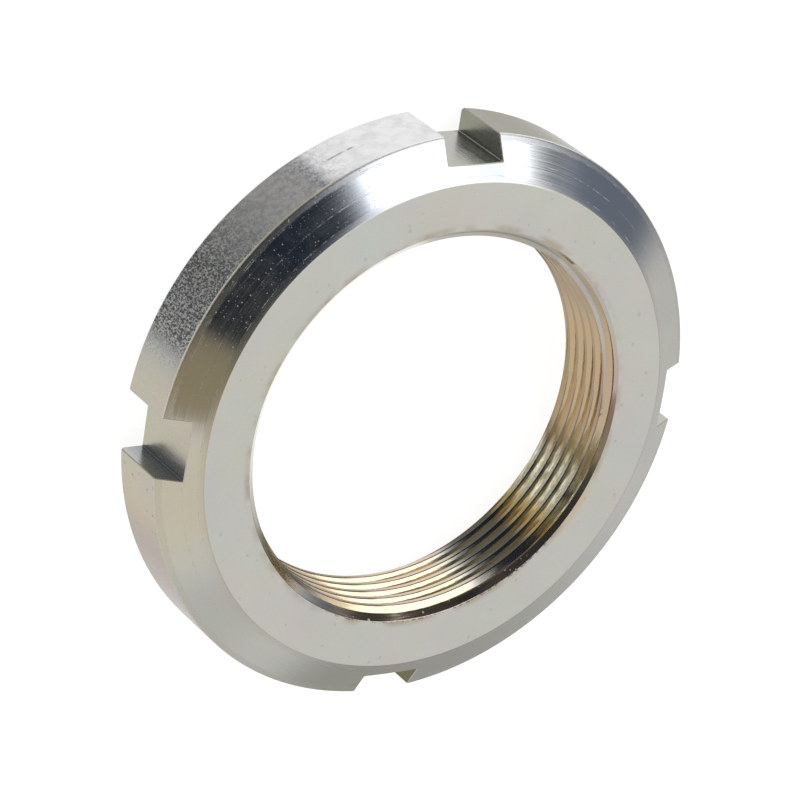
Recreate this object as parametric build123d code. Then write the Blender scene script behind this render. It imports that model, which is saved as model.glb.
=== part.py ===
from build123d import *
import math
import os

# Lock nut for a rolling bearing: one ring turned from steel bar, with a fine thread
# through its bore, a bearing face inside a wide chamfer, and slots for a hook spanner.
# Millimetres. The nut lies flat: the back face is on z = 0, the bore runs along +Z,
# and the bearing face is on top. The origin is the centre of the back face.

# Thread, right hand, 60 degrees between the flanks. The middle of its lowest groove
# is groove_height_at_x above the back face where the bore crosses +X.
thread_diameter = 40.0
thread_pitch = 1.5
tapping_bore_diameter = 38.5
flank_angle = 30.0
groove_height_at_x = 1.02

# Ring
outer_diameter = 58.0
nut_width = 9.0
bearing_face_diameter = 50.0
chamfer_angle = 30.0

# Spanner slots, cut right across the rim
slot_count = 4
slot_width = 6.0
slot_depth = 2.5

# Mouths of the bore
countersink_diameter = 40.6
countersink_angle = 45.0

# Broken and rounded edges
rim_edge_radius = 0.4
bearing_edge_radius = 0.3
back_edge_break = 0.3

# How far the cutters reach past the metal, so that no cut ends on a surface
slot_overrun = 1.0
thread_overrun = 0.15


def slope(angle):
    """Rise for each millimetre of run, at an angle in degrees."""
    return math.tan(math.radians(angle))


outer_radius = outer_diameter / 2
bearing_face_radius = bearing_face_diameter / 2
bore_radius = tapping_bore_diameter / 2
countersink_radius = countersink_diameter / 2
chamfer_drop = (outer_radius - bearing_face_radius) * slope(chamfer_angle)
countersink_depth = (countersink_radius - bore_radius) * slope(countersink_angle)


def turned_ring():
    """The ring as it leaves the lathe: its half section, turned about the bore."""
    corners = [
        (bore_radius, countersink_depth),
        (countersink_radius, 0),
        (outer_radius - back_edge_break, 0),
        (outer_radius, back_edge_break),
        (outer_radius, nut_width - chamfer_drop),
        (bearing_face_radius, nut_width),
        (countersink_radius, nut_width),
        (bore_radius, nut_width - countersink_depth),
    ]
    section = Plane.XZ * make_face(Polyline(*corners, close=True))
    rim_edge = section.vertices().group_by(Axis.X)[-1].sort_by(Axis.Z)[-1]
    section = fillet(rim_edge, rim_edge_radius)
    bearing_edge = section.vertices().group_by(Axis.Z)[-1].sort_by(Axis.X)[-1]
    section = fillet(bearing_edge, bearing_edge_radius)
    return revolve(section, Axis.Z)


def spanner_slots():
    """Flat-bottomed slots, evenly spaced, the first one on +X."""
    floor_radius = outer_radius - slot_depth
    reach = slot_depth + slot_overrun
    cutter = Pos(floor_radius + reach / 2, 0, nut_width / 2) * Box(
        reach, slot_width, nut_width + 2 * slot_overrun
    )
    return [Rot(0, 0, 360 / slot_count * turn) * cutter for turn in range(slot_count)]


def groove_turn(turn):
    """One turn of the helical groove between two threads, counted from below the back
    face. It reaches a little inside the bore, where it is still narrower than the
    pitch, so that neighbouring turns don't touch."""
    root_radius = thread_diameter / 2
    root_half = thread_pitch / 8 / 2
    inner_radius = bore_radius - thread_overrun
    mouth_half = root_half + (root_radius - inner_radius) * slope(flank_angle)
    start = groove_height_at_x + (turn - 2) * thread_pitch
    path = Helix(pitch=thread_pitch, height=thread_pitch, radius=bore_radius, center=(0, 0, start))
    profile = Plane.XZ * make_face(
        Polyline(
            (inner_radius, start - mouth_half),
            (root_radius, start - root_half),
            (root_radius, start + root_half),
            (inner_radius, start + mouth_half),
            close=True,
        )
    )
    return sweep(profile, path=path, is_frenet=True)


lock_nut = turned_ring()
lock_nut -= spanner_slots()
for turn in range(math.ceil(nut_width / thread_pitch) + 2):
    lock_nut -= groove_turn(turn)

os.makedirs("parts", exist_ok=True)
export_step(lock_nut, "parts/lock_nut.step")
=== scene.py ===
import math

import bmesh
import bpy
from mathutils import Matrix, Quaternion, Vector


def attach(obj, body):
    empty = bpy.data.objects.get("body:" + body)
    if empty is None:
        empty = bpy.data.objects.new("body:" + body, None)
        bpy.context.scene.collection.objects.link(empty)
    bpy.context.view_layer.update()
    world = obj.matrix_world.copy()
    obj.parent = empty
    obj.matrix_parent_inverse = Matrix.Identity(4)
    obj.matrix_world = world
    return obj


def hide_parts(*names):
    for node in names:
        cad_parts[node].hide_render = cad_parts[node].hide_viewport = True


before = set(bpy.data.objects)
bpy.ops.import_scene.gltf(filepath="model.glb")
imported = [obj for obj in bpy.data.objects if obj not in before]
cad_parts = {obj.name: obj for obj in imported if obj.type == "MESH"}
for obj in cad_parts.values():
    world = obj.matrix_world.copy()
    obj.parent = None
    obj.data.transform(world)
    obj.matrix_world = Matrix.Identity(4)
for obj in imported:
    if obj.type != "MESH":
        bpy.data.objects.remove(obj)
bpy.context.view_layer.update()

# The ring is turned from steel bar: back face, rim, wide chamfer, bearing face and the two
# countersinks at the mouths of the bore. Its half section is drawn point by point as
# (radius, height) in millimetres, and spun about the bore.

MM = 0.001
NUT_WIDTH = 9.0
RIM_RADIUS = 29.0
FACE_RADIUS = 25.0
CHAMFER_ANGLE = 30
COUNTERSINK_RADIUS = 20.3
DRILLED_RADIUS = 19.0
BACK_BREAK = 0.3
RIM_ROUND = 0.2
FACE_ROUND = 0.18
MOUTH_BREAK = 0.03
HOLD = 0.06
SPIN_STEPS = 180
MERGE_GAP = 0.001 * MM


def slope(angle):
    """Rise for each millimetre of run, at an angle in degrees."""
    return math.tan(math.radians(angle))


def chamfer_height(radius):
    """Height of the chamfer's surface at a radius."""
    return NUT_WIDTH - (radius - FACE_RADIUS) * slope(CHAMFER_ANGLE)


def draw_section(name, points):
    """Draw a line of (radius, height) points and leave it open in edit mode."""
    bpy.ops.object.select_all(action="DESELECT")
    start = points[0]
    bpy.ops.mesh.primitive_plane_add(size=MM, location=(start[0] * MM, 0, start[1] * MM))
    section = bpy.context.object
    section.name = name
    bpy.ops.object.transform_apply(location=True, rotation=False, scale=False)
    bpy.ops.object.mode_set(mode="EDIT")
    bpy.ops.mesh.select_mode(type="VERT")
    bpy.ops.mesh.select_all(action="SELECT")
    bpy.ops.mesh.merge(type="CENTER")
    for here, there in zip(points, points[1:]):
        step = ((there[0] - here[0]) * MM, 0, (there[1] - here[1]) * MM)
        bpy.ops.mesh.extrude_vertices_move(TRANSFORM_OT_translate={"value": step})
    return section


def pick(piece, kind, wanted):
    """In edit mode, select just the vertices, edges or faces that wanted() accepts."""
    bpy.ops.mesh.select_mode(type=kind)
    bpy.ops.mesh.select_all(action="DESELECT")
    mesh = bmesh.from_edit_mesh(piece.data)
    for item in {"VERT": mesh.verts, "EDGE": mesh.edges, "FACE": mesh.faces}[kind]:
        if wanted(item):
            item.select_set(True)
    mesh.select_flush_mode()
    bmesh.update_edit_mesh(piece.data)


def near(radius, height):
    """A test for a section's point within 0.01 mm of this radius and height."""
    spot = Vector((radius * MM, 0, height * MM))
    return lambda vertex: (vertex.co - spot).length < 0.01 * MM


# A second point beside a corner, at the distance HOLD, keeps the corner's shading narrow.
rim_top = chamfer_height(RIM_RADIUS)
drill_drop = COUNTERSINK_RADIUS - DRILLED_RADIUS
ring_section = [
    (DRILLED_RADIUS, drill_drop),
    (COUNTERSINK_RADIUS - HOLD, HOLD),
    (COUNTERSINK_RADIUS, 0),
    (COUNTERSINK_RADIUS + HOLD, 0),
    (RIM_RADIUS - BACK_BREAK - HOLD, 0),
    (RIM_RADIUS - BACK_BREAK, 0),
    (RIM_RADIUS, BACK_BREAK),
    (RIM_RADIUS, BACK_BREAK + HOLD),
    (RIM_RADIUS, rim_top - RIM_ROUND),
    (RIM_RADIUS, rim_top),
    (RIM_RADIUS - RIM_ROUND, chamfer_height(RIM_RADIUS - RIM_ROUND)),
    (FACE_RADIUS + FACE_ROUND, chamfer_height(FACE_RADIUS + FACE_ROUND)),
    (FACE_RADIUS, NUT_WIDTH),
    (FACE_RADIUS - FACE_ROUND, NUT_WIDTH),
    (COUNTERSINK_RADIUS + HOLD, NUT_WIDTH),
    (COUNTERSINK_RADIUS, NUT_WIDTH),
    (COUNTERSINK_RADIUS - HOLD, NUT_WIDTH - HOLD),
    (DRILLED_RADIUS, NUT_WIDTH - drill_drop),
    (DRILLED_RADIUS, drill_drop),
]
ring = draw_section("lock_nut_ring", ring_section)
bpy.ops.mesh.select_all(action="SELECT")
bpy.ops.mesh.remove_doubles(threshold=MERGE_GAP)
bpy.ops.mesh.edge_face_add()

# The corners to round: radius, height, how far the rounding reaches, and its steps.
rounded_corners = [
    (RIM_RADIUS, rim_top, RIM_ROUND * slope((90 - CHAMFER_ANGLE) / 2), 4),
    (FACE_RADIUS, NUT_WIDTH, FACE_ROUND * slope(CHAMFER_ANGLE / 2), 4),
    (COUNTERSINK_RADIUS, 0, MOUTH_BREAK, 2),
    (COUNTERSINK_RADIUS, NUT_WIDTH, MOUTH_BREAK, 2),
]
for radius, height, reach, segments in rounded_corners:
    pick(ring, "VERT", near(radius, height))
    bpy.ops.mesh.bevel(offset=reach * MM, segments=segments, affect="VERTICES")
bpy.ops.mesh.select_all(action="SELECT")
bpy.ops.mesh.delete(type="ONLY_FACE")
bpy.ops.mesh.select_all(action="SELECT")
bpy.ops.transform.rotate(value=math.pi / SPIN_STEPS, orient_axis="Z", center_override=(0, 0, 0))
bpy.ops.mesh.spin(steps=SPIN_STEPS, angle=2 * math.pi, center=(0, 0, 0), axis=(0, 0, 1))
bpy.ops.mesh.select_all(action="SELECT")
bpy.ops.mesh.remove_doubles(threshold=MERGE_GAP)
bpy.ops.mesh.normals_make_consistent(inside=False)

# The whole nut is zinc plated and passivated, so every surface starts from the same pale
# metal under a thin film with faint tints. What differs is the cut below the plating: the
# faces are satin, the chamfer bright and ringed, the rim pitted like the bar it came from.

ZINC = (0.66, 0.652, 0.60, 1)
BROWN_FILM = (0.50, 0.42, 0.33, 1)


def add(tree, kind, settings=None, feeds=(), **named):
    """Add a node, and set or link its inputs, in order or by name."""
    node = tree.nodes.new(kind)
    for setting, value in (settings or {}).items():
        setattr(node, setting, value)
    pairs = list(zip(node.inputs, feeds))
    pairs += [(node.inputs[name.replace("_", " ")], value) for name, value in named.items()]
    for socket, value in pairs:
        if isinstance(value, bpy.types.NodeSocket):
            tree.links.new(value, socket)
        else:
            socket.default_value = value
    return node


def calc(tree, operation, *feeds):
    """Add one step of arithmetic and give its result."""
    return add(tree, "ShaderNodeMath", {"operation": operation}, feeds).outputs[0]


def times(tree, first, *factors):
    """Multiply values, one after the other."""
    for factor in factors:
        first = calc(tree, "MULTIPLY", first, factor)
    return first


def calc_vector(tree, operation, *feeds):
    """Add one step of vector arithmetic and give its vector."""
    return add(tree, "ShaderNodeVectorMath", {"operation": operation}, feeds).outputs["Vector"]


def join(tree, *axes):
    """Join three values to a vector."""
    return add(tree, "ShaderNodeCombineXYZ", None, axes).outputs[0]


def blend(tree, share, under, over):
    """Mix two colours: none of the second at 0, all of it at 1."""
    mix = add(tree, "ShaderNodeMix", {"data_type": "RGBA"}, Factor=share, A=under, B=over)
    return mix.outputs["Result"]


def stretch(tree, value, start, stop, low, high):
    """Bring a value from start..stop to low..high. Beyond them it stays at the ends."""
    return add(tree, "ShaderNodeMapRange", None, (value, start, stop, low, high)).outputs[0]


def level(tree, value, low, high):
    """Bring a value from 0..1 to low..high."""
    return stretch(tree, value, 0.0, 1.0, low, high)


def noise(tree, place, scale, detail, roughness=0.5, output=0):
    """Smooth noise, with about this many waves for each unit of place."""
    look = {"Scale": scale, "Detail": detail, "Roughness": roughness}
    return add(tree, "ShaderNodeTexNoise", None, Vector=place, **look).outputs[output]


def new_group(name, takes, gives):
    """Start a shader node group and give its tree, its inputs and its outputs."""
    tree = bpy.data.node_groups.new(name, "ShaderNodeTree")
    for side, sockets in (("INPUT", takes), ("OUTPUT", gives)):
        for socket, kind in sockets.items():
            tree.interface.new_socket(socket, in_out=side, socket_type="NodeSocket" + kind)
    return tree, tree.nodes.new("NodeGroupInput").outputs, tree.nodes.new("NodeGroupOutput").inputs


def use(tree, group, **named):
    """Place a node group in a tree and give its outputs."""
    return add(tree, "ShaderNodeGroup", {"node_tree": group}, **named).outputs


# Where a point is on the nut, in millimetres and degrees about the bore.
nut_place, taken, given = new_group("nut_place", {}, {
    "Place": "Vector", "Round": "Vector", "Radius": "Float", "Angle": "Float", "Height": "Float"})
metres = nut_place.nodes.new("ShaderNodeTexCoord").outputs["Object"]
millimetres = calc_vector(nut_place, "MULTIPLY", metres, (1000, 1000, 1000))
flat = calc_vector(nut_place, "MULTIPLY", millimetres, (1, 1, 0))
axes = add(nut_place, "ShaderNodeSeparateXYZ", None, (millimetres,)).outputs
reach = add(nut_place, "ShaderNodeVectorMath", {"operation": "LENGTH"}, (flat,)).outputs["Value"]
turn = calc(nut_place, "ARCTAN2", axes["Y"], axes["X"])
nut_place.links.new(millimetres, given["Place"])
nut_place.links.new(calc_vector(nut_place, "NORMALIZE", flat), given["Round"])
nut_place.links.new(reach, given["Radius"])
nut_place.links.new(calc(nut_place, "DEGREES", turn), given["Angle"])
nut_place.links.new(axes["Z"], given["Height"])

# A soft-edged band about a middle value, and the same for an angle in degrees.
soft_band, taken, given = new_group(
    "soft_band",
    {"Value": "Float", "Middle": "Float", "Half": "Float", "Soft": "Float"},
    {"Mask": "Float"},
)
off = calc(soft_band, "ABSOLUTE", calc(soft_band, "SUBTRACT", taken["Value"], taken["Middle"]))
start = calc(soft_band, "SUBTRACT", taken["Half"], taken["Soft"])
stop = calc(soft_band, "ADD", taken["Half"], taken["Soft"])
smooth = {"interpolation_type": "SMOOTHSTEP"}
ramp = add(soft_band, "ShaderNodeMapRange", smooth, (off, start, stop, 1.0, 0.0))
soft_band.links.new(ramp.outputs[0], given["Mask"])

soft_sector, taken, given = new_group(
    "soft_sector",
    {"Angle": "Float", "Middle": "Float", "Half": "Float", "Soft": "Float"},
    {"Mask": "Float"},
)
away = calc(soft_sector, "SUBTRACT", taken["Angle"], taken["Middle"])
away = calc(soft_sector, "WRAP", away, 180.0, -180.0)
about = use(soft_sector, soft_band, Value=away, Middle=0.0, Half=taken["Half"], Soft=taken["Soft"])
soft_sector.links.new(about["Mask"], given["Mask"])


def band(tree, value, middle, half, soft):
    """A mask that is 1 where a value lies within half of the middle, with soft edges."""
    return use(tree, soft_band, Value=value, Middle=middle, Half=half, Soft=soft)["Mask"]


def sector(tree, angle, middle, half, soft):
    """The same mask for an angle, all of it in degrees."""
    return use(tree, soft_sector, Angle=angle, Middle=middle, Half=half, Soft=soft)["Mask"]


# The plating's film: large faint tints of yellow, blue and pink, and a fine grain.
zinc_film, taken, given = new_group(
    "zinc_film", {"Metal": "Color", "Tint": "Float", "Grain": "Float"}, {"Color": "Color"})
here = use(zinc_film, nut_place)
cloud = noise(zinc_film, here["Place"], scale=0.16, detail=2.0, roughness=0.6, output="Color")
grain = noise(zinc_film, here["Place"], scale=5.0, detail=2.0)
tint = calc_vector(zinc_film, "SUBTRACT", cloud, (0.5, 0.5, 0.5))
spread = join(zinc_film, taken["Tint"], taken["Tint"], taken["Tint"])
tint = calc_vector(zinc_film, "MULTIPLY_ADD", tint, spread, (1, 1, 1))
shade = calc(zinc_film, "SUBTRACT", grain, 0.5)
shade = calc(zinc_film, "MULTIPLY_ADD", shade, taken["Grain"], 1.0)
shaded = join(zinc_film, shade, shade, shade)
metal = calc_vector(zinc_film, "MULTIPLY", taken["Metal"], tint)
metal = calc_vector(zinc_film, "MULTIPLY", metal, shaded)
zinc_film.links.new(metal, given["Color"])


def plated(tree, metal, tint, grain):
    """The colour of a metal under the film, with this much tint and grain."""
    return use(tree, zinc_film, Metal=metal, Tint=tint, Grain=grain)["Color"]


# Rings that a turning tool leaves: fine steps across the cut, long runs along it.
turned_marks, taken, given = new_group(
    "turned_marks", {"Across": "Float", "Fineness": "Float", "Runs": "Float"}, {"Height": "Float"})
here = use(turned_marks, nut_place)
spread = join(turned_marks, taken["Runs"], taken["Runs"], 0.0)
along = calc_vector(turned_marks, "MULTIPLY", here["Round"], spread)
across = times(turned_marks, taken["Across"], taken["Fineness"])
across = join(turned_marks, 0.0, 0.0, across)
ring_place = calc_vector(turned_marks, "ADD", along, across)
rings = noise(turned_marks, ring_place, scale=1.0, detail=2.0)
turned_marks.links.new(rings, given["Height"])


def ringed(tree, across, fineness, runs):
    """The height of turned rings, this fine across a value and with runs round the bore."""
    return use(tree, turned_marks, Across=across, Fineness=fineness, Runs=runs)["Height"]


# Small round specks, a share of them larger than the rest.
specks, taken, given = new_group(
    "specks", {"Fineness": "Float", "Size": "Float"}, {"Mask": "Float"})
here = use(specks, nut_place)
cells = add(specks, "ShaderNodeTexVoronoi", None, Vector=here["Place"], Scale=taken["Fineness"])
luck = add(specks, "ShaderNodeSeparateColor", None, (cells.outputs["Color"],)).outputs[0]
size = times(specks, calc(specks, "POWER", luck, 2.0), taken["Size"])
edge = times(specks, size, 0.6)
specks.links.new(stretch(specks, cells.outputs["Distance"], edge, size, 1.0, 0.0), given["Mask"])


def speckled(tree, fineness, size):
    """A mask of specks, with this many cells for each millimetre."""
    return use(tree, specks, Fineness=fineness, Size=size)["Mask"]


def new_metal(name, roughness, anisotropic=0.0):
    """Start a metal material, and give it with its tree and shader."""
    metal = bpy.data.materials.new(name)
    metal.use_nodes = True
    shader = metal.node_tree.nodes["Principled BSDF"]
    shader.inputs["Metallic"].default_value = 1.0
    shader.inputs["Roughness"].default_value = roughness
    shader.inputs["Anisotropic"].default_value = anisotropic
    return metal, metal.node_tree, shader


def bump(tree, shader, height, lift):
    """Raise a material's surface by up to lift millimetres, where the height is 1."""
    relief = add(tree, "ShaderNodeBump", None, Height=height, Distance=lift * MM)
    tree.links.new(relief.outputs[0], shader.inputs["Normal"])


def paint(piece, metal, wanted):
    """In edit mode, give the faces that wanted() accepts this metal."""
    if metal.name not in piece.data.materials:
        piece.data.materials.append(metal)
    piece.active_material_index = piece.data.materials.find(metal.name)
    pick(piece, "FACE", wanted)
    bpy.ops.object.material_slot_assign()


# Bearing face and back face: satin, with brown patches and one yellow bloom along the mouth
# of the bore, faint dark specks, and a ragged brink round a part of the mouth, painted near black
# where the countersink beside it mirrors something dark.
satin_face, tree, shader = new_metal("satin_face", 0.36)
here = use(tree, nut_place)
film = plated(tree, ZINC, tint=0.16, grain=0.10)
mouth = band(tree, here["Radius"], middle=20.2, half=0.55, soft=0.35)
patchy = noise(tree, here["Place"], scale=0.35, detail=3.0)
patchy = stretch(tree, patchy, 0.42, 0.62, 0.0, 0.8)
film = blend(tree, times(tree, mouth, patchy), film, BROWN_FILM)
bloom = sector(tree, here["Angle"], middle=330.0, half=7.0, soft=7.0)
bloom_reach = band(tree, here["Radius"], middle=20.4, half=0.6, soft=0.5)
bloom = times(tree, bloom, bloom_reach, 0.7)
film = blend(tree, bloom, film, (0.72, 0.55, 0.36, 1))
spots = speckled(tree, fineness=0.9, size=0.26)
film = blend(tree, times(tree, spots, 0.3), film, (0.36, 0.36, 0.38, 1))
# Painted reflection: near black along the ragged brink, where the countersink beside it mirrors
# something dark.
ragged = sector(tree, here["Angle"], middle=283.0, half=36.0, soft=12.0)
brink = band(tree, here["Radius"], middle=20.34, half=0.10, soft=0.05)
torn = noise(tree, here["Place"], scale=2.6, detail=3.0, roughness=0.7)
torn = stretch(tree, torn, 0.50, 0.56, 0.0, 0.9)
torn = times(tree, ragged, brink, torn)
film = blend(tree, torn, film, (0.10, 0.08, 0.06, 1))
tree.links.new(film, shader.inputs["Base Color"])
marks = ringed(tree, here["Radius"], fineness=5.0, runs=2.0)
tree.links.new(level(tree, marks, 0.30, 0.42), shader.inputs["Roughness"])
bump(tree, shader, marks, 0.003)

# Chamfer: bright turned metal, with a painted cool reflection tint on one side. Its two edges are
# rougher and a little brown, the tool has left broken rings whose highlights are painted pale, and
# small pits hold a white residue, most of all where the metal mirrors something dark.
bright_chamfer, tree, shader = new_metal("bright_chamfer", 0.17, anisotropic=0.4)
here = use(tree, nut_place)
inner_edge = band(tree, here["Radius"], middle=25.0, half=0.45, soft=0.25)
outer_edge = band(tree, here["Radius"], middle=29.0, half=0.60, soft=0.10)
edges = calc(tree, "MAXIMUM", inner_edge, times(tree, outer_edge, 1.15))
broken = noise(tree, here["Place"], scale=0.7, detail=4.0, roughness=0.75)
broken = stretch(tree, broken, 0.44, 0.66, 0.0, 1.0)
# The tool's rings are real, and their highlight lines are painted on them as pale broken rings.
tool_rings_and_highlights = 0.0
for ring_radius, half in ((25.53, 0.03), (26.8, 0.025), (28.38, 0.03), (28.53, 0.02)):
    one_ring = band(tree, here["Radius"], middle=ring_radius, half=half, soft=0.03)
    tool_rings_and_highlights = calc(tree, "ADD", tool_rings_and_highlights, one_ring)
tool_rings_and_highlights = times(tree, tool_rings_and_highlights, broken)
residue = sector(tree, here["Angle"], middle=136.0, half=24.0, soft=9.0)
stars = speckled(tree, fineness=2.8, size=0.25)
dust = times(tree, speckled(tree, fineness=5.0, size=0.30), 0.5)
haze = noise(tree, here["Place"], scale=0.8, detail=4.0, roughness=0.6)
haze = stretch(tree, haze, 0.45, 0.70, 0.0, 0.07)
stars = calc(tree, "MAXIMUM", calc(tree, "MAXIMUM", stars, dust), haze)
stars = times(tree, stars, level(tree, residue, 0.15, 1.0))
pale = calc(tree, "MAXIMUM", times(tree, tool_rings_and_highlights, 0.8), stars)
film = plated(tree, ZINC, tint=0.10, grain=0.04)
# Painted reflection: a cooler, bluer tint over one side of the chamfer.
painted_cool_reflection = sector(tree, here["Angle"], middle=97.0, half=56.0, soft=12.0)
film = blend(tree, painted_cool_reflection, film, (0.61, 0.65, 0.71, 1))
film = blend(tree, times(tree, edges, 0.12), film, BROWN_FILM)
lip = band(tree, here["Radius"], middle=25.0, half=0.10, soft=0.05)
film = blend(tree, times(tree, lip, 0.4), film, BROWN_FILM)
film = blend(tree, pale, film, (0.64, 0.64, 0.61, 1))
tree.links.new(film, shader.inputs["Base Color"])
tree.links.new(calc(tree, "MULTIPLY_ADD", pale, -0.7, 1.0), shader.inputs["Metallic"])
marks = ringed(tree, here["Radius"], fineness=6.5, runs=1.4)
bumpy = calc(tree, "MULTIPLY_ADD", marks, 0.09, 0.08)
bumpy = calc(tree, "MULTIPLY_ADD", edges, 0.08, bumpy)
bumpy = calc(tree, "MAXIMUM", bumpy, times(tree, pale, 0.6))
tree.links.new(bumpy, shader.inputs["Roughness"])
bump(tree, shader, marks, 0.003)

# Rim: the skin of the drawn bar. Its grains are a third of a millimetre across, taller
# than wide, some smooth and some matt, and coarsest where the rim mirrors something dark.
# There its colour is painted reflection: cooler, with grey mottling as painted shade and white specks
# as painted glints.
# Round the nut come a paler stretch with darker mottling and a scratch, dark dirt specks and a warm
# blush.
pitted_rim, tree, shader = new_metal("pitted_rim", 0.14)
here = use(tree, nut_place)
film = plated(tree, ZINC, tint=0.14, grain=0.12)
blush = sector(tree, here["Angle"], middle=211.0, half=14.0, soft=9.0)
film = blend(tree, blush, film, (0.66, 0.55, 0.48, 1))
# Where the rim mirrors something dark, its colour is painted cooler, with white specks as painted
# glints.
growing = sector(tree, here["Angle"], middle=157.0, half=24.0, soft=16.0)
dark_mirror_zone = sector(tree, here["Angle"], middle=140.0, half=23.5, soft=3.0)
dark_mirror_zone = times(tree, dark_mirror_zone, growing)
painted_glints = speckled(tree, fineness=3.6, size=0.36)
painted_glints = times(tree, painted_glints, dark_mirror_zone)
film = blend(tree, times(tree, dark_mirror_zone, 0.7), film, (0.64, 0.66, 0.69, 1))
film = blend(tree, painted_glints, film, (1.0, 1.0, 1.0, 1))
spots = speckled(tree, fineness=0.8, size=0.26)
film = blend(tree, times(tree, spots, 0.15), film, (0.25, 0.25, 0.27, 1))
worn = sector(tree, here["Angle"], middle=109.0, half=14.0, soft=2.0)
film = blend(tree, worn, film, (0.71, 0.71, 0.71, 1))
rubbed = noise(tree, here["Place"], scale=0.7, detail=3.0)
rubbed = stretch(tree, rubbed, 0.42, 0.68, 0.0, 0.75)
film = blend(tree, times(tree, worn, rubbed), film, (0.57, 0.575, 0.585, 1))
# Painted shade: darker grey mottling where the rim mirrors something dark.
mottle = noise(tree, here["Place"], scale=1.5, detail=3.0, roughness=0.65)
mottle = stretch(tree, mottle, 0.44, 0.60, 0.0, 0.8)
painted_dark = sector(tree, here["Angle"], middle=135.0, half=18.0, soft=6.0)
film = blend(tree, times(tree, painted_dark, mottle), film, (0.48, 0.48, 0.48, 1))
dirt = sector(tree, here["Angle"], middle=194.0, half=6.0, soft=2.0)
dirt = times(tree, dirt, speckled(tree, fineness=1.5, size=0.34))
film = blend(tree, times(tree, dirt, 0.6), film, (0.16, 0.15, 0.15, 1))
scratch = sector(tree, here["Angle"], middle=114.3, half=3.0, soft=0.5)
scratch_line = band(tree, here["Height"], middle=3.3, half=0.12, soft=0.08)
scratch = times(tree, scratch, scratch_line)
scuffs = noise(tree, here["Place"], scale=2.2, detail=2.0)
scuffs = stretch(tree, scuffs, 0.36, 0.50, 0.0, 0.9)
film = blend(tree, times(tree, scratch, scuffs), film, (0.25, 0.25, 0.25, 1))
tree.links.new(film, shader.inputs["Base Color"])
drawn = calc_vector(tree, "MULTIPLY", here["Place"], (5.5, 5.5, 3.4))
grains = noise(tree, drawn, scale=1.0, detail=3.0, roughness=0.65)
matt = stretch(tree, grains, 0.46, 0.57, 0.0, 1.0)
matt = times(tree, matt, level(tree, dark_mirror_zone, 0.3, 1.0))
matt = calc(tree, "MAXIMUM", matt, painted_glints)
tree.links.new(level(tree, matt, 0.07, 0.57), shader.inputs["Roughness"])
bump(tree, shader, times(tree, grains, level(tree, dark_mirror_zone, 0.25, 1.0)), 0.008)

# The turned corner between rim and chamfer: matt and pale gold, with a painted highlight that makes it
# nearly white on one side.
rim_corner, tree, shader = new_metal("rim_corner", 0.5)
here = use(tree, nut_place)
film = plated(tree, (0.74, 0.71, 0.65, 1), tint=0.3, grain=0.3)
# Painted highlight: nearly white on the side where the chamfer beside it mirrors the key lamp.
painted_highlight = sector(tree, here["Angle"], middle=93.0, half=29.0, soft=5.0)
film = blend(tree, painted_highlight, film, (0.97, 0.97, 0.97, 1))
tree.links.new(film, shader.inputs["Base Color"])

# Faces are told apart by the rise of their normal and by their radius in millimetres.
FLAT = 0.97
STEEP = 0.6
MOUTH_END = 21.0
RIM_START = 28.6


def radius_of(face):
    """How far a face's middle is from the bore's axis, in millimetres."""
    return face.calc_center_median().xy.length / MM


ring.data.materials.clear()
paint(ring, satin_face, lambda face: abs(face.normal.z) > FLAT)
paint(ring, bright_chamfer, lambda face: STEEP < face.normal.z < FLAT and radius_of(face) > MOUTH_END)
paint(ring, pitted_rim, lambda face: -FLAT < face.normal.z < STEEP and radius_of(face) > RIM_START)
paint(ring, rim_corner, lambda face: 0.1 < face.normal.z < 0.8 and radius_of(face) > RIM_START)

# Countersinks: cut with a broad tool, under a film that runs from lilac to brown. One part
# is dull and pale, a thin painted shadow line of the thread's groove drifts across it, and pale nicks
# show in the brown.
stained_mouth, tree, shader = new_metal("stained_mouth", 0.18)
here = use(tree, nut_place)
film = plated(tree, (0.65, 0.61, 0.54, 1), tint=0.22, grain=0.25)
stain = sector(tree, here["Angle"], middle=293.0, half=47.0, soft=9.0)
film = blend(tree, times(tree, stain, 0.6), film, (0.42, 0.29, 0.20, 1))
lilac = sector(tree, here["Angle"], middle=4.0, half=14.0, soft=9.0)
film = blend(tree, times(tree, lilac, 0.7), film, (0.56, 0.47, 0.52, 1))
dulled = sector(tree, here["Angle"], middle=80.0, half=24.0, soft=8.0)
film = blend(tree, dulled, film, (0.80, 0.78, 0.73, 1))
# Painted shadow: a thin dark line where the thread's groove meets the countersink, drifting outwards
# round the bore.
lined = sector(tree, here["Angle"], middle=42.0, half=63.0, soft=12.0)
drift = stretch(tree, here["Angle"], 0.0, 100.0, 19.5, 20.06)
painted_groove_shadow = band(tree, here["Radius"], middle=drift, half=0.12, soft=0.09)
film = blend(tree, times(tree, lined, painted_groove_shadow, 0.75), film, (0.44, 0.43, 0.37, 1))
nicks = sector(tree, here["Angle"], middle=290.0, half=42.0, soft=8.0)
nicks = times(tree, nicks, speckled(tree, fineness=1.9, size=0.36))
film = blend(tree, nicks, film, (0.72, 0.70, 0.62, 1))
tree.links.new(film, shader.inputs["Base Color"])
rubbed = sector(tree, here["Angle"], middle=318.0, half=24.0, soft=8.0)
rough = calc(tree, "MAXIMUM", level(tree, rubbed, 0.13, 0.27), times(tree, nicks, 0.7))
rough = calc(tree, "MAXIMUM", rough, times(tree, dulled, 0.5))
tree.links.new(rough, shader.inputs["Roughness"])
marks = ringed(tree, here["Radius"], fineness=6.0, runs=6.0)
bump(tree, shader, marks, 0.008)
paint(ring, stained_mouth, lambda face: abs(face.normal.z) < FLAT and radius_of(face) < MOUTH_END)
bpy.ops.object.mode_set(mode="OBJECT")

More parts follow.
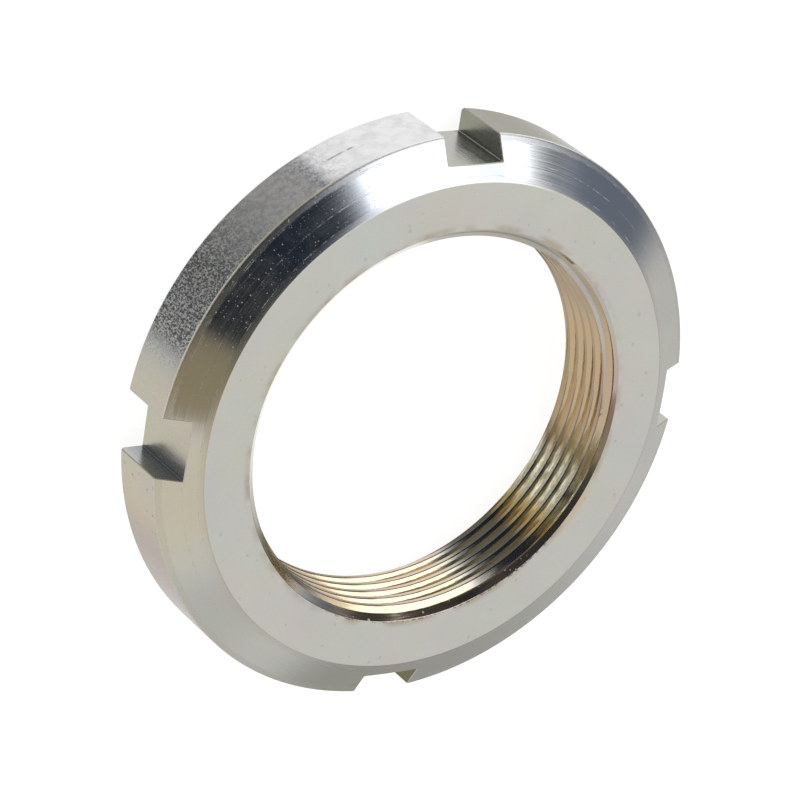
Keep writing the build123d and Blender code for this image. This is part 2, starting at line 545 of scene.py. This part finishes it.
# The thread is tapped right through the bore: M40 x 1.5, right hand, 60 degrees between
# the flanks. The tap is one pitch of the groove, swept up its helix and cut off square
# beyond both faces, and the ring is cut with it.

PITCH = 1.5
CREST_RADIUS = 19.25
ROOT_RADIUS = 20.0
FLANK_ANGLE = 30
ROOT_HALF = PITCH / 16
MOUTH_HALF = ROOT_HALF + (ROOT_RADIUS - CREST_RADIUS) * slope(FLANK_ANGLE)
GROOVE_HEIGHT_AT_X = 1.02
TAP_TURNS = 10
TAP_OVERRUN = 0.55
PITCHES_BELOW = 3

# Half the groove's outline, from its middle: the root, its broken corner, the flank and the
# broken corner at the crest. A second point near each end of the flank keeps it flat.
ROOT_FLAT_HALF = 0.04
FOOT_RADIUS = ROOT_RADIUS - 0.03
FOOT_HALF = 0.11
TOP_RADIUS = CREST_RADIUS + 0.06
TOP_HALF = MOUTH_HALF - 0.04
CREST_EDGE_HALF = MOUTH_HALF + 0.03
FLANK_HOLD = 0.03
flank_rise = (TOP_HALF - FOOT_HALF) / (FOOT_RADIUS - TOP_RADIUS)
groove_half = [
    (ROOT_RADIUS, ROOT_FLAT_HALF),
    (FOOT_RADIUS, FOOT_HALF),
    (FOOT_RADIUS - FLANK_HOLD, FOOT_HALF + FLANK_HOLD * flank_rise),
    (TOP_RADIUS + FLANK_HOLD, TOP_HALF - FLANK_HOLD * flank_rise),
    (TOP_RADIUS, TOP_HALF),
    (CREST_RADIUS, CREST_EDGE_HALF),
    (CREST_RADIUS, PITCH / 2),
]
tap_start = GROOVE_HEIGHT_AT_X - PITCHES_BELOW * PITCH
tap_section = [(radius, tap_start - height) for radius, height in reversed(groove_half)]
tap_section += [(radius, tap_start + height) for radius, height in groove_half]
tap = draw_section("thread_tap", tap_section)
bpy.ops.object.mode_set(mode="OBJECT")
sweep = tap.modifiers.new("helix", "SCREW")
sweep.axis = "Z"
sweep.angle = 2 * math.pi
sweep.screw_offset = PITCH * MM
sweep.iterations = TAP_TURNS
sweep.steps = SPIN_STEPS
sweep.render_steps = SPIN_STEPS
bpy.ops.object.modifier_apply(modifier="helix")
bpy.ops.object.mode_set(mode="EDIT")
bpy.ops.mesh.select_all(action="SELECT")
bpy.ops.mesh.remove_doubles(threshold=MERGE_GAP)
for height, direction in ((-TAP_OVERRUN, -1), (NUT_WIDTH + TAP_OVERRUN, 1)):
    bpy.ops.mesh.select_all(action="SELECT")
    bpy.ops.mesh.bisect(
        plane_co=(0, 0, height * MM),
        plane_no=(0, 0, direction),
        use_fill=True,
        clear_outer=True,
        threshold=MERGE_GAP / 10,
    )
bpy.ops.mesh.select_all(action="SELECT")
bpy.ops.mesh.normals_make_consistent(inside=False)
bpy.ops.object.mode_set(mode="OBJECT")

# The plating lies thicker in the thread, and its film is golden there, with an amber stretch
# round the bore. Grey, golden and silver stretches and dark runs are painted reflections: the golden
# and silver ones glints, the grey ones and the dark runs shade where the thread mirrors something
# dark. The flanks are smooth. The crests are what is left of the drilled bore, and are rougher.
golden_thread, tree, shader = new_metal("golden_thread", 0.11)
here = use(tree, nut_place)
film = plated(tree, (0.62, 0.515, 0.385, 1), tint=0.28, grain=0.15)
amber = sector(tree, here["Angle"], middle=40.0, half=26.0, soft=12.0)
film = blend(tree, amber, film, (0.63, 0.48, 0.31, 1))
# Painted reflection: a grey stretch as shade, golden and silver stretches as glints, dark runs as
# shade between them.
painted_grey = sector(tree, here["Angle"], middle=304.0, half=13.0, soft=4.0)
film = blend(tree, painted_grey, film, (0.46, 0.44, 0.39, 1))
painted_golden_glint = sector(tree, here["Angle"], middle=326.0, half=11.0, soft=4.0)
film = blend(tree, painted_golden_glint, film, (0.66, 0.55, 0.33, 1))
painted_silver_glint = sector(tree, here["Angle"], middle=332.0, half=8.0, soft=4.0)
streak = ringed(tree, here["Height"], fineness=6.0, runs=30.0)
streak = stretch(tree, streak, 0.40, 0.60, 0.35, 1.0)
film = blend(tree, times(tree, painted_silver_glint, streak), film, (0.78, 0.80, 0.78, 1))
painted_dark_runs = sector(tree, here["Angle"], middle=328.0, half=16.0, soft=6.0)
gaps = ringed(tree, here["Height"], fineness=10.0, runs=14.0)
gaps = stretch(tree, gaps, 0.42, 0.56, 0.45, 0.0)
film = blend(tree, times(tree, painted_dark_runs, gaps), film, (0.22, 0.19, 0.13, 1))
tree.links.new(film, shader.inputs["Base Color"])
marks = ringed(tree, here["Radius"], fineness=9.0, runs=14.0)
bump(tree, shader, marks, 0.006)

matt_crest, tree, shader = new_metal("matt_crest", 0.22)
here = use(tree, nut_place)
film = plated(tree, (0.62, 0.53, 0.42, 1), tint=0.28, grain=0.2)
brown = sector(tree, here["Angle"], middle=32.0, half=40.0, soft=12.0)
film = blend(tree, brown, film, (0.46, 0.37, 0.26, 1))
# Painted reflection on the crests: a dark grey stretch as shade, golden and silver stretches as
# glints.
painted_grey = sector(tree, here["Angle"], middle=306.0, half=10.0, soft=4.0)
film = blend(tree, painted_grey, film, (0.24, 0.23, 0.20, 1))
painted_golden_glint = sector(tree, here["Angle"], middle=326.0, half=11.0, soft=4.0)
film = blend(tree, painted_golden_glint, film, (0.72, 0.61, 0.37, 1))
painted_silver_glint = sector(tree, here["Angle"], middle=331.0, half=8.0, soft=4.0)
torn = ringed(tree, here["Height"], fineness=8.0, runs=60.0)
strip = stretch(tree, torn, 0.42, 0.58, 0.25, 1.0)
film = blend(tree, times(tree, painted_silver_glint, strip), film, (0.88, 0.90, 0.88, 1))
tree.links.new(film, shader.inputs["Base Color"])
bright = calc(tree, "MAXIMUM", painted_golden_glint, painted_silver_glint)
rough = calc(tree, "MULTIPLY_ADD", bright, 0.34, level(tree, torn, 0.12, 0.32))
tree.links.new(rough, shader.inputs["Roughness"])
bump(tree, shader, torn, 0.012)


def on_crest(face):
    """Whether a face of the tap lies on the thread's crests."""
    return all(vertex.co.xy.length < (CREST_RADIUS + 0.01) * MM for vertex in face.verts)


bpy.ops.object.mode_set(mode="EDIT")
paint(tap, golden_thread, lambda face: True)
paint(tap, matt_crest, on_crest)
bpy.ops.object.mode_set(mode="OBJECT")


def cut(piece, cutter):
    """Cut the piece with the cutter, and take the cutter away."""
    bpy.ops.object.select_all(action="DESELECT")
    bpy.context.view_layer.objects.active = piece
    cutting = piece.modifiers.new("cut", "BOOLEAN")
    cutting.operation = "DIFFERENCE"
    cutting.solver = "EXACT"
    cutting.material_mode = "TRANSFER"
    cutting.object = cutter
    bpy.ops.object.modifier_apply(modifier="cut")
    bpy.data.objects.remove(cutter)


cut(ring, tap)

# Four slots for a hook spanner are milled across the rim, 90 degrees apart. Three of them
# carry painted shade: the slots on +Y and -Y on their wall towards +X, and the slot on -X along its
# inner corner towards -Y.
# Their edges are deburred by a light touch on a wheel, and the plating is thin and brown on them.

SLOT_COUNT = 4
SLOT_WIDTH = 6.0
SLOT_DEPTH = 2.5
SLOT_FLOOR = RIM_RADIUS - SLOT_DEPTH
SLOT_CORNER = 0.05
CUTTER_REACH = 4
CUTTER_OVERRUN = 1
DEBURR = 0.08

milled_slot, tree, shader = new_metal("milled_slot", 0.20)
here = use(tree, nut_place)
film = plated(tree, ZINC, tint=0.12, grain=0.08)
# Painted shade on the wall towards +X of the slot on +Y.
painted_dark = sector(tree, here["Angle"], middle=83.8, half=0.9, soft=0.4)
film = blend(tree, painted_dark, film, (0.38, 0.40, 0.36, 1))
# Painted shade on the wall towards +X of the slot on -Y.
painted_wall_shade = sector(tree, here["Angle"], middle=276.2, half=0.9, soft=0.4)
film = blend(tree, painted_wall_shade, film, (0.205, 0.20, 0.13, 1))
# Painted shade in the inner corner towards -Y of the slot on -X, darkest along the corner.
painted_corner_shade = sector(tree, here["Angle"], middle=186.45, half=0.45, soft=0.45)
film = blend(tree, times(tree, painted_corner_shade, 0.7), film, (0.18, 0.21, 0.27, 1))
tree.links.new(film, shader.inputs["Base Color"])
strokes = calc_vector(tree, "MULTIPLY", here["Place"], (3.0, 3.0, 0.4))
strokes = noise(tree, strokes, scale=1.0, detail=3.0)
tree.links.new(level(tree, strokes, 0.14, 0.40), shader.inputs["Roughness"])
bump(tree, shader, strokes, 0.003)

worn_edge, tree, shader = new_metal("worn_edge", 0.5)
film = plated(tree, (0.64, 0.59, 0.53, 1), tint=0.4, grain=0.4)
tree.links.new(film, shader.inputs["Base Color"])


def in_slot_corner(edge):
    """Whether an edge of the cutter runs up an inner corner of its slot."""
    first, last = (vertex.co for vertex in edge.verts)
    return max(first.x, last.x) < SLOT_FLOOR * MM + MERGE_GAP and abs(first.y - last.y) < MERGE_GAP


for slot in range(SLOT_COUNT):
    bpy.ops.object.select_all(action="DESELECT")
    middle = ((SLOT_FLOOR + CUTTER_REACH / 2) * MM, 0, NUT_WIDTH / 2 * MM)
    bpy.ops.mesh.primitive_cube_add(size=MM, location=middle)
    cutter = bpy.context.object
    cutter.scale = (CUTTER_REACH, SLOT_WIDTH, NUT_WIDTH + 2 * CUTTER_OVERRUN)
    bpy.ops.object.transform_apply(location=True, rotation=False, scale=True)
    bpy.ops.object.mode_set(mode="EDIT")
    pick(cutter, "EDGE", in_slot_corner)
    bpy.ops.mesh.bevel(offset=SLOT_CORNER * MM, segments=1)
    bpy.ops.mesh.select_all(action="SELECT")
    slot_turn = slot * 2 * math.pi / SLOT_COUNT
    bpy.ops.transform.rotate(value=slot_turn, orient_axis="Z", center_override=(0, 0, 0))
    bpy.ops.object.mode_set(mode="OBJECT")
    cutter.data.materials.append(milled_slot)
    cut(ring, cutter)

SHARP_ANGLE = 25
SMOOTH_ANGLE = 22
SMALL_FACE = 0.2 * MM ** 2


def on_slot_edge(edge):
    """Whether an edge runs along a slot's rim: between a slot face and an outer face."""
    if len(edge.link_faces) != 2 or edge.calc_face_angle(0) < math.radians(SHARP_ANGLE):
        return False
    first, last = (vertex.co for vertex in edge.verts)
    middle = (first + last) / 2 / MM
    across = min(abs(middle.x), abs(middle.y))
    along = max(abs(middle.x), abs(middle.y))
    upright = abs(first.z - last.z) > MM
    if upright and along < SLOT_FLOOR + 2 * SLOT_CORNER:
        return False
    on_wall = abs(across - SLOT_WIDTH / 2) < 0.005 and along > SLOT_FLOOR - 0.01
    on_floor = abs(along - SLOT_FLOOR) < 0.15 and across < SLOT_WIDTH / 2 + 0.01
    return on_wall or on_floor


def in_brown_corner(face):
    """Whether a face of the slot on +Y is a brown corner: long, and facing -X and +Y."""
    in_slot = face.calc_center_median().y > (SLOT_FLOOR - 0.5) * MM and face.calc_area() > SMALL_FACE
    return in_slot and face.normal.x < -0.6 and face.normal.y > 0.6


ring.data.materials.append(worn_edge)
bpy.ops.object.mode_set(mode="EDIT")
pick(ring, "EDGE", on_slot_edge)
worn = ring.data.materials.find("worn_edge")
bpy.ops.mesh.bevel(offset=DEBURR * MM, segments=1, clamp_overlap=False, material=worn)
paint(ring, worn_edge, in_brown_corner)
bpy.ops.object.mode_set(mode="OBJECT")
bpy.ops.object.select_all(action="DESELECT")
ring.select_set(True)
bpy.ops.object.shade_smooth_by_angle(angle=math.radians(SMOOTH_ANGLE))

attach(ring, "root")
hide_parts("lock_nut")

# The nut lies on a plain white floor. The floor's own glow makes it white to the camera
# and keeps the nut's shadow faint. The metal doesn't mirror the floor, because the photo's
# nut is grey and dark where it would.

FLOOR_RADIUS = 0.6
FLOOR_GLOW = 0.9

bpy.ops.object.select_all(action="DESELECT")
bpy.ops.mesh.primitive_circle_add(
    vertices=96, radius=FLOOR_RADIUS, fill_type="NGON", location=(0, 0, 0))
studio_floor = bpy.context.object
studio_floor.name = "studio_floor"
studio_floor.visible_glossy = False
floor_white = bpy.data.materials.new("floor_white")
floor_white.use_nodes = True
tree = floor_white.node_tree
paper = tree.nodes["Principled BSDF"]
paper.inputs["Base Color"].default_value = (0.35, 0.35, 0.35, 1)
paper.inputs["Roughness"].default_value = 1.0
paper.inputs["Specular IOR Level"].default_value = 0.0
paper.inputs["Emission Color"].default_value = (1, 1, 1, 1)
rays = tree.nodes.new("ShaderNodeLightPath").outputs
seen = calc(tree, "MAXIMUM", rays["Is Camera Ray"], rays["Is Glossy Ray"])
seen = calc(tree, "MAXIMUM", seen, rays["Is Transmission Ray"])
tree.links.new(times(tree, seen, FLOOR_GLOW), paper.inputs["Emission Strength"])
studio_floor.data.materials.append(floor_white)

# The studio is what the round metal mirrors: pale walls that dim towards the ground, and
# soft-edged cards from white to near black, each placed by the mirror image that the photo
# shows. A later card covers the earlier ones.

DARK = (0.016, 0.022, 0.032)
PALE = (1.15, 1.15, 1.15)
BROWN = (0.22, 0.19, 0.11)

world = bpy.data.worlds.new("studio")
bpy.context.scene.world = world
world.use_nodes = True
tree = world.node_tree
sky = tree.nodes.new("ShaderNodeTexCoord").outputs["Generated"]
axes = add(tree, "ShaderNodeSeparateXYZ", None, (sky,)).outputs
azimuth = calc(tree, "DEGREES", calc(tree, "ARCTAN2", axes["Y"], axes["X"]))
elevation = calc(tree, "DEGREES", calc(tree, "ARCSINE", axes["Z"]))

# Each card, in degrees as seen from the nut: the azimuth of its middle, half its width, its
# lower and upper elevation, and the softness of its sides and of its ends. Then its colour.
cards = [
    (-125, 16, 28, 66, 11, 11, (0.79, 0.74, 0.61)),
    (-93, 8, 15, 42, 6, 6, (0.62, 0.63, 0.62)),
    (-62, 14, -6, 12, 9, 4, (0.40, 0.40, 0.39)),
    (-48, 11, -15, 0, 6, 6, (0.42, 0.42, 0.41)),
    (-36, 26, -44, -25, 8, 8, (1.15, 1.15, 1.12)),
    (-133, 32, -75, -32, 8, 8, (0.76, 0.72, 0.63)),
    (68, 29, -80, -10, 7, 7, PALE),
    (62, 32, -14, 6, 4, 4, (1.30, 1.27, 1.20)),
    (5, 18, -80, -35, 14, 14, (0.52, 0.50, 0.47)),
    (12, 15, 4, 29, 5, 5, (0.17, 0.19, 0.22)),
    (60, 38, 13, 45, 4, 4, (0.06, 0.06, 0.06)),
    (19, 13, 32, 62, 4, 2.5, (1.15, 1.10, 1.0)),
    (132, 51, 22, 78, 6, 2, DARK),
    (139, 44, -57, 24, 4, 3, DARK),
    (139, 40, -38, 22, 6, 6, (0.50, 0.46, 0.34)),
    (156, 17, -27, 3, 4, 4, (1.40, 1.40, 1.30)),
    (123, 26, -80, -35, 4, 4, (0.42, 0.42, 0.43)),
    (151, 25, -80, -40, 13, 13, (0.22, 0.225, 0.23)),
    (160, 17, -80, -40, 7, 7, (0.108, 0.116, 0.124)),
    (-164, 19, -30, 28, 6, 6, (1.05, 1.07, 0.95)),
    (-162.5, 17.5, 30, 95, 2.5, 2.5, (0.33, 0.28, 0.19)),
    (151, 20, 70.5, 110, 3, 1, BROWN),
    (-170, 8, 67.5, 110, 3, 1, BROWN),
]
walls = stretch(tree, elevation, 0.0, 60.0, 0.0, 1.0)
room = blend(tree, walls, (0.65, 0.65, 0.65, 1), (0.83, 0.83, 0.83, 1))
for middle, half, low, high, side_soft, end_soft, colour in cards:
    wide = sector(tree, azimuth, middle, half, side_soft)
    tall = band(tree, elevation, (low + high) / 2, (high - low) / 2, end_soft)
    room = blend(tree, times(tree, wide, tall), room, (*colour, 1))
tree.links.new(room, tree.nodes["Background"].inputs["Color"])

# The key is one large soft lamp, about a quarter turn from the camera and as high. Its
# mirror image is the bright patch on the chamfer.

KEY_AZIMUTH = 46.7
KEY_ELEVATION = 50.3
KEY_DISTANCE = 0.308
KEY_SIZE = (0.219, 0.153)
KEY_TILT = 58
KEY_BRIGHTNESS = 1.43


def towards(azimuth, elevation):
    """Unit vector at an azimuth and elevation in degrees."""
    round_angle, rise_angle = math.radians(azimuth), math.radians(elevation)
    reach = math.cos(rise_angle)
    return Vector((math.cos(round_angle) * reach, math.sin(round_angle) * reach, math.sin(rise_angle)))


key = bpy.data.lights.new("key_softbox", "AREA")
key.shape = "RECTANGLE"
key.size, key.size_y = KEY_SIZE
key.energy = KEY_BRIGHTNESS * math.pi * KEY_SIZE[0] * KEY_SIZE[1]
key.color = (0.98, 0.99, 1.0)
key_lamp = bpy.data.objects.new("key_softbox", key)
bpy.context.scene.collection.objects.link(key_lamp)
key_aim = towards(KEY_AZIMUTH, KEY_ELEVATION)
key_lamp.location = key_aim * KEY_DISTANCE
key_turn = key_aim.to_track_quat("Z", "Y") @ Quaternion((0, 0, 1), math.radians(KEY_TILT))
key_lamp.rotation_euler = key_turn.to_euler()

# The camera stands where the photo's did, by a fit to the nut's outlines and slot corners.
# Its place is given from the middle of the nut's top, in millimetres along its own axes.

CAMERA_AZIMUTH = 142.882
CAMERA_ELEVATION = 48.819
CAMERA_ROLL = 128.939
CAMERA_STEP = (-3.5596, 2.7238, 424.74)
CAMERA_LENS = 203.28

camera_turn = (
    Matrix.Rotation(math.radians(CAMERA_AZIMUTH + 90), 4, "Z")
    @ Matrix.Rotation(math.radians(90 - CAMERA_ELEVATION), 4, "X")
    @ Matrix.Rotation(math.radians(CAMERA_ROLL), 4, "Z")
)
camera = bpy.data.cameras.new("photo_camera")
camera.lens = CAMERA_LENS
camera.sensor_width = 36
camera.clip_start = 0.01
photo_camera = bpy.data.objects.new("photo_camera", camera)
bpy.context.scene.collection.objects.link(photo_camera)
camera_step = Vector([step * MM for step in CAMERA_STEP])
camera_place = Vector((0, 0, NUT_WIDTH * MM)) + camera_turn @ camera_step
photo_camera.matrix_world = Matrix.Translation(camera_place) @ camera_turn
bpy.context.scene.camera = photo_camera

bpy.context.scene.view_settings.view_transform = "Standard"
